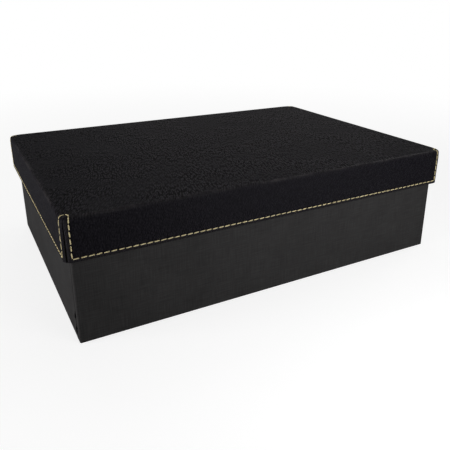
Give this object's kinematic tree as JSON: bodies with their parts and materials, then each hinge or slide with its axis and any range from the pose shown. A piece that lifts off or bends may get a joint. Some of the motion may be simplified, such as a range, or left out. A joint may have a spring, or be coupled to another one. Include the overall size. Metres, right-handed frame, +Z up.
{
  "type": "stationery box",
  "caption": "Rigid black stationery box with a shallow telescoping lid that lifts off, covered in grained leatherette with contrast hem stitching and slit corners.",
  "frame": {"origin": "centre of the underside, on the surface the box stands on", "axes": "+X along the long side to the right, +Y from the front to the back, +Z up, the way the lid lifts"},
  "size_m": [0.3356, 0.24, 0.0958],
  "materials": {
    "leatherette": "grained black leatherette, satin",
    "base_wrap": "fine-textured charcoal leather-look sheet, matt",
    "thread": "twisted cream polyester thread",
    "lining": "black lining paper",
    "bottom_sheet": "black card",
    "corner_stay": "dark gummed paper",
    "greyboard": "raw greyboard"
  },
  "bodies": {
    "base": {"base_floor_board": "greyboard", "base_front_board": "greyboard", "base_back_board": "greyboard", "base_left_board": "greyboard", "base_right_board": "greyboard", "base_corner_stays": "corner_stay", "base_wrap": "base_wrap", "base_bottom_sheet": "bottom_sheet", "base_wall_lining": "lining", "base_floor_lining": "lining"},
    "lid": {"lid_top_board": "greyboard", "lid_front_board": "greyboard", "lid_back_board": "greyboard", "lid_left_board": "greyboard", "lid_right_board": "greyboard", "lid_corner_stays": "corner_stay", "lid_cover": "leatherette", "lid_stitching": "thread", "lid_skirt_lining": "lining", "lid_top_lining": "lining"}
  },
  "joints": [
    {"name": "lid_lift", "type": "slide", "parent": "base", "child": "lid", "axis": [0, 0, 1], "range_m": [0, 0.12]}
  ]
}
